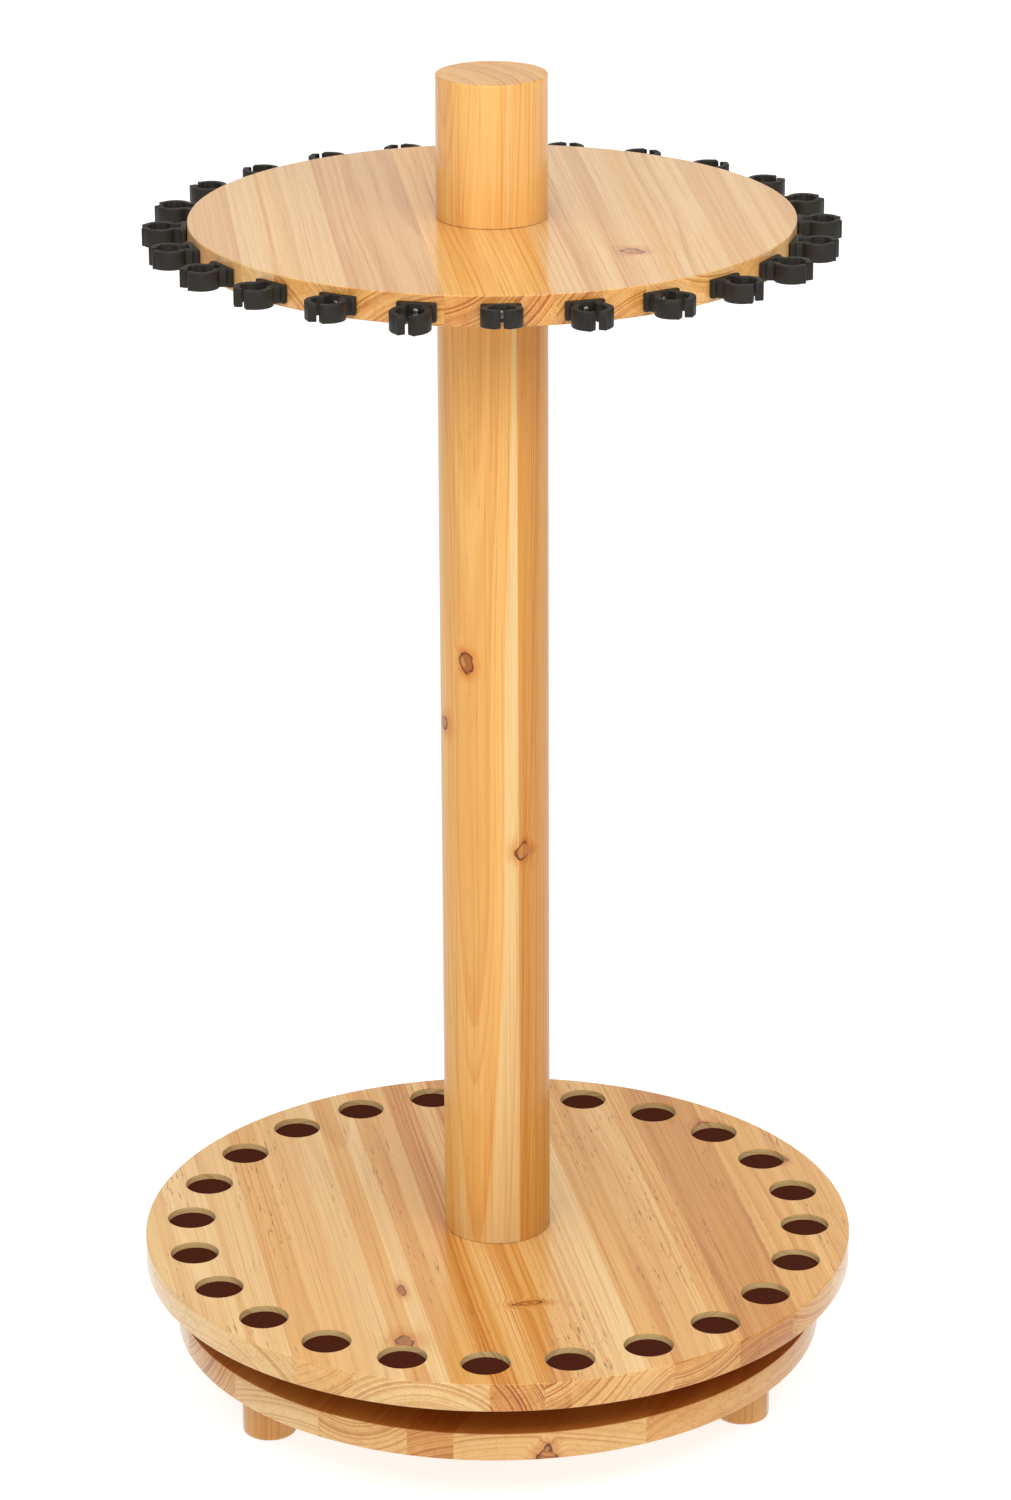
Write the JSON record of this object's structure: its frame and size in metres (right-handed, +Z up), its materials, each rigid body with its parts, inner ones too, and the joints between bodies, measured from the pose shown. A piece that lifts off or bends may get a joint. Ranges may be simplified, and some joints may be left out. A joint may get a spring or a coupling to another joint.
{
  "type": "rotating fishing rod rack",
  "caption": "Round wooden floor rack that spins on its base: a post joins a lower disc with rod-butt sockets to an upper disc with spring clips round its rim.",
  "frame": {"origin": "on the floor, on the axis that the rack turns about", "axes": "+Z up along the turning axis, -Y towards the front, +X to the right as seen from the front"},
  "size_m": [0.444, 0.444, 0.835],
  "materials": {
    "base_pine": "clear satin varnish",
    "foot_pine": "clear satin varnish",
    "spacer_pine": "bare sanded wood",
    "turntable_pine": "clear satin varnish",
    "post_pine": "clear satin varnish",
    "top_pine": "clear satin varnish",
    "upper_post_pine": "clear satin varnish",
    "zinc_steel": "bright zinc plate",
    "brown_felt": "dense felt",
    "black_plastic": "fine matt texture"
  },
  "bodies": {
    "base": {"base_disc": "base_pine", "foot_back": "foot_pine", "foot_front_left": "foot_pine", "foot_front_right": "foot_pine", "bearing_lower_plate": "zinc_steel"},
    "ball_ring": {"bearing_ball_ring": "zinc_steel"},
    "turntable": {"bearing_upper_plate": "zinc_steel", "bearing_spacer": "spacer_pine", "rotating_disc": "turntable_pine", "lower_post": "post_pine", "top_disc": "top_pine", "upper_post": "upper_post_pine", "socket_pad_01": "brown_felt", "socket_pad_02": "brown_felt", "socket_pad_03": "brown_felt", "socket_pad_04": "brown_felt", "socket_pad_05": "brown_felt", "socket_pad_06": "brown_felt", "socket_pad_07": "brown_felt", "socket_pad_08": "brown_felt", "socket_pad_09": "brown_felt", "socket_pad_10": "brown_felt", "socket_pad_11": "brown_felt", "socket_pad_12": "brown_felt", "socket_pad_13": "brown_felt", "socket_pad_14": "brown_felt", "socket_pad_15": "brown_felt", "socket_pad_16": "brown_felt", "socket_pad_17": "brown_felt", "socket_pad_18": "brown_felt", "socket_pad_19": "brown_felt", "socket_pad_20": "brown_felt", "socket_pad_21": "brown_felt", "socket_pad_22": "brown_felt", "socket_pad_23": "brown_felt", "socket_pad_24": "brown_felt", "rod_clip_01": "black_plastic", "rod_clip_02": "black_plastic", "rod_clip_03": "black_plastic", "rod_clip_04": "black_plastic", "rod_clip_05": "black_plastic", "rod_clip_06": "black_plastic", "rod_clip_07": "black_plastic", "rod_clip_08": "black_plastic", "rod_clip_09": "black_plastic", "rod_clip_10": "black_plastic", "rod_clip_11": "black_plastic", "rod_clip_12": "black_plastic", "rod_clip_13": "black_plastic", "rod_clip_14": "black_plastic", "rod_clip_15": "black_plastic", "rod_clip_16": "black_plastic", "rod_clip_17": "black_plastic", "rod_clip_18": "black_plastic", "rod_clip_19": "black_plastic", "rod_clip_20": "black_plastic", "rod_clip_21": "black_plastic", "rod_clip_22": "black_plastic", "rod_clip_23": "black_plastic", "rod_clip_24": "black_plastic"}
  },
  "joints": [
    {"name": "turntable_spin", "type": "hinge", "parent": "base", "child": "turntable", "pos_m": [0, 0, 0.05735], "axis": [0, 0, 1], "continuous": true},
    {"name": "ball_ring_spin", "type": "hinge", "parent": "base", "child": "ball_ring", "pos_m": [0, 0, 0.05735], "axis": [0, 0, 1], "continuous": true}
  ],
  "couplings": [
    {"joint": "ball_ring_spin", "follows": "turntable_spin", "ratio": 0.5}
  ]
}
